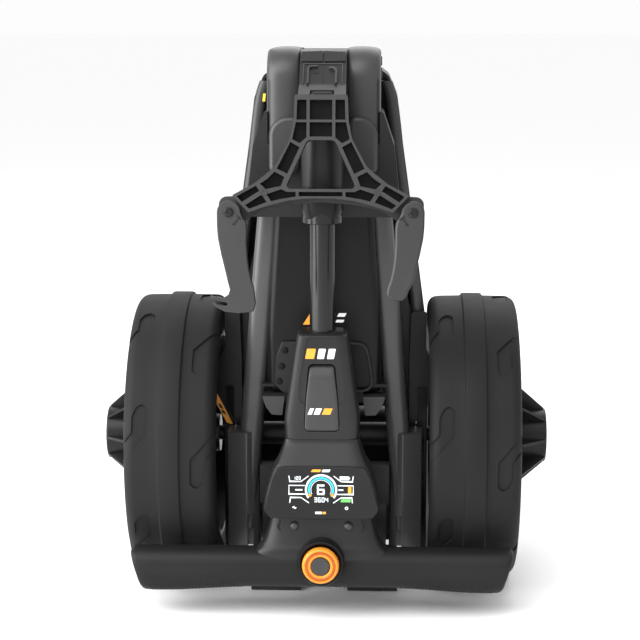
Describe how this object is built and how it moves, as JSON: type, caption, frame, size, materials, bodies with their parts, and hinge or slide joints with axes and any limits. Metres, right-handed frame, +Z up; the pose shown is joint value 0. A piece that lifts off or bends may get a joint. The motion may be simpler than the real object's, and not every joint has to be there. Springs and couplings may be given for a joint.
{
  "type": "electric golf trolley",
  "caption": "Folded electric golf trolley standing on end, with two wide rear wheels, a cross handle with a speed dial and display, a ribbed bag bracket and a folding tripod frame.",
  "frame": {"origin": "on the floor under the middle of the folded trolley, which stands on its rear tyres and two feet", "axes": "+X along the rear axle, to the right seen from the handle; +Y from the handle side to the front-wheel side; +Z up"},
  "size_m": [0.478, 0.3969, 0.5747],
  "materials": {
    "shell_plastic": "satin",
    "frame_paint": "satin",
    "dome_plastic": "satin",
    "bracket_plastic": "satin",
    "tyre_rubber": "satin",
    "grip_rubber": "satin",
    "rim_plastic": "satin",
    "foot_rubber": "satin",
    "steel": "satin",
    "case_alloy": "satin",
    "battery_plastic": "satin",
    "screen_glass": "satin",
    "orange_plastic": "satin",
    "board": "satin"
  },
  "bodies": {
    "chassis": {"gearbox_case": "case_alloy", "gearbox_cover": "case_alloy", "motor_case": "case_alloy", "side_plates": "shell_plastic", "socket_left": "shell_plastic", "socket_right": "shell_plastic", "leg_tube_left": "frame_paint", "leg_tube_right": "frame_paint", "cross_bar": "shell_plastic", "guard_panel": "shell_plastic", "stand_feet": "foot_rubber", "yoke": "shell_plastic", "hinge_ears": "shell_plastic", "dome_covers": "dome_plastic", "hinge_pins": "steel", "battery_case": "battery_plastic", "battery_cover": "battery_plastic", "battery_tray": "shell_plastic", "connector_plate": "shell_plastic", "connector_screws": "steel", "battery_catches": "dome_plastic"},
    "drive_axle": {"drive_axle": "steel"},
    "motor_rotor": {"motor_pinion": "steel"},
    "wheel_left": {"tyre_left": "tyre_rubber", "rim_left": "rim_plastic", "hub_cap_left": "rim_plastic"},
    "wheel_right": {"tyre_right": "tyre_rubber", "rim_right": "rim_plastic", "hub_cap_right": "rim_plastic"},
    "wheel_button_left": {"wheel_button_left": "orange_plastic"},
    "wheel_button_right": {"wheel_button_right": "orange_plastic"},
    "handle": {"knuckle": "shell_plastic", "shaft_tube": "frame_paint", "bag_bracket": "bracket_plastic", "bag_cradle": "bracket_plastic", "arm_bolts": "steel", "stem_shell": "shell_plastic", "stem_cover": "shell_plastic", "display_housing": "shell_plastic", "display_screen": "screen_glass", "circuit_board": "board", "handle_hub": "shell_plastic", "grip_core": "steel", "grip_left": "grip_rubber", "grip_right": "grip_rubber"},
    "fold_button": {"fold_button": "shell_plastic"},
    "fold_lever": {"fold_lever": "bracket_plastic"},
    "key_left": {"key_left": "dome_plastic"},
    "key_right": {"key_right": "dome_plastic"},
    "speed_dial": {"speed_dial": "orange_plastic"},
    "dial_cap": {"dial_cap": "shell_plastic"},
    "strap_arm_left": {"strap_arm_left": "bracket_plastic"},
    "strap_arm_right": {"strap_arm_right": "bracket_plastic"},
    "front_frame": {"front_spine": "shell_plastic", "front_fork": "frame_paint", "front_axle": "steel", "front_shell": "shell_plastic", "lower_bag_support": "bracket_plastic"},
    "front_wheel": {"front_tyre": "tyre_rubber", "front_rim": "rim_plastic"}
  },
  "joints": [
    {"name": "handle_fold", "type": "hinge", "parent": "chassis", "child": "handle", "pos_m": [0, -0.062, 0.55], "axis": [-1, 0, 0], "range_deg": [0, 110]},
    {"name": "front_fold", "type": "hinge", "parent": "chassis", "child": "front_frame", "pos_m": [0, 0.005, 0.56], "axis": [1, 0, 0], "range_deg": [0, 77]},
    {"name": "drive_spin", "type": "hinge", "parent": "chassis", "child": "drive_axle", "pos_m": [0, 0, 0.155], "axis": [1, 0, 0], "continuous": true},
    {"name": "motor_spin", "type": "hinge", "parent": "chassis", "child": "motor_rotor", "pos_m": [0, 0.036, 0.155], "axis": [1, 0, 0], "continuous": true},
    {"name": "wheel_left_spin", "type": "hinge", "parent": "chassis", "child": "wheel_left", "pos_m": [0, 0, 0.155], "axis": [1, 0, 0], "continuous": true},
    {"name": "wheel_right_spin", "type": "hinge", "parent": "chassis", "child": "wheel_right", "pos_m": [0, 0, 0.155], "axis": [1, 0, 0], "continuous": true},
    {"name": "wheel_button_left_press", "type": "slide", "parent": "wheel_left", "child": "wheel_button_left", "axis": [1, 0, 0], "range_m": [0, 0.003], "stiffness_N_per_m": 1500, "springref_m": -0.002},
    {"name": "wheel_button_right_press", "type": "slide", "parent": "wheel_right", "child": "wheel_button_right", "axis": [-1, 0, 0], "range_m": [0, 0.003], "stiffness_N_per_m": 1500, "springref_m": -0.002},
    {"name": "fold_button_press", "type": "slide", "parent": "handle", "child": "fold_button", "axis": [0, 1, 0], "range_m": [0, 0.003], "stiffness_N_per_m": 1500, "springref_m": -0.002},
    {"name": "fold_lever_lift", "type": "hinge", "parent": "handle", "child": "fold_lever", "pos_m": [0, -0.1487, 0.2565], "axis": [-1, 0, 0], "range_deg": [0, 35]},
    {"name": "key_left_press", "type": "slide", "parent": "handle", "child": "key_left", "axis": [0, 1, 0], "range_m": [0, 0.001], "stiffness_N_per_m": 1500, "springref_m": -0.001},
    {"name": "key_right_press", "type": "slide", "parent": "handle", "child": "key_right", "axis": [0, 1, 0], "range_m": [0, 0.001], "stiffness_N_per_m": 1500, "springref_m": -0.001},
    {"name": "speed_dial_turn", "type": "hinge", "parent": "handle", "child": "speed_dial", "pos_m": [0, -0.18, 0.0623], "axis": [0, -1, 0], "continuous": true},
    {"name": "dial_cap_press", "type": "slide", "parent": "speed_dial", "child": "dial_cap", "axis": [0, 1, 0], "range_m": [0, 0.002], "stiffness_N_per_m": 1500, "springref_m": -0.001},
    {"name": "strap_arm_left_swing", "type": "hinge", "parent": "handle", "child": "strap_arm_left", "pos_m": [-0.09, -0.17982, 0.41928], "axis": [0, 0.9903, -0.1392], "range_deg": [0, 60]},
    {"name": "strap_arm_right_swing", "type": "hinge", "parent": "handle", "child": "strap_arm_right", "pos_m": [0.09, -0.17982, 0.41928], "axis": [0, -0.9903, 0.1392], "range_deg": [0, 60]},
    {"name": "front_wheel_spin", "type": "hinge", "parent": "front_frame", "child": "front_wheel", "pos_m": [0, 0.0985, 0.29], "axis": [1, 0, 0], "continuous": true}
  ],
  "couplings": [
    {"joint": "front_fold", "follows": "handle_fold", "ratio": 0.7},
    {"joint": "motor_spin", "follows": "drive_spin", "ratio": -3}
  ]
}
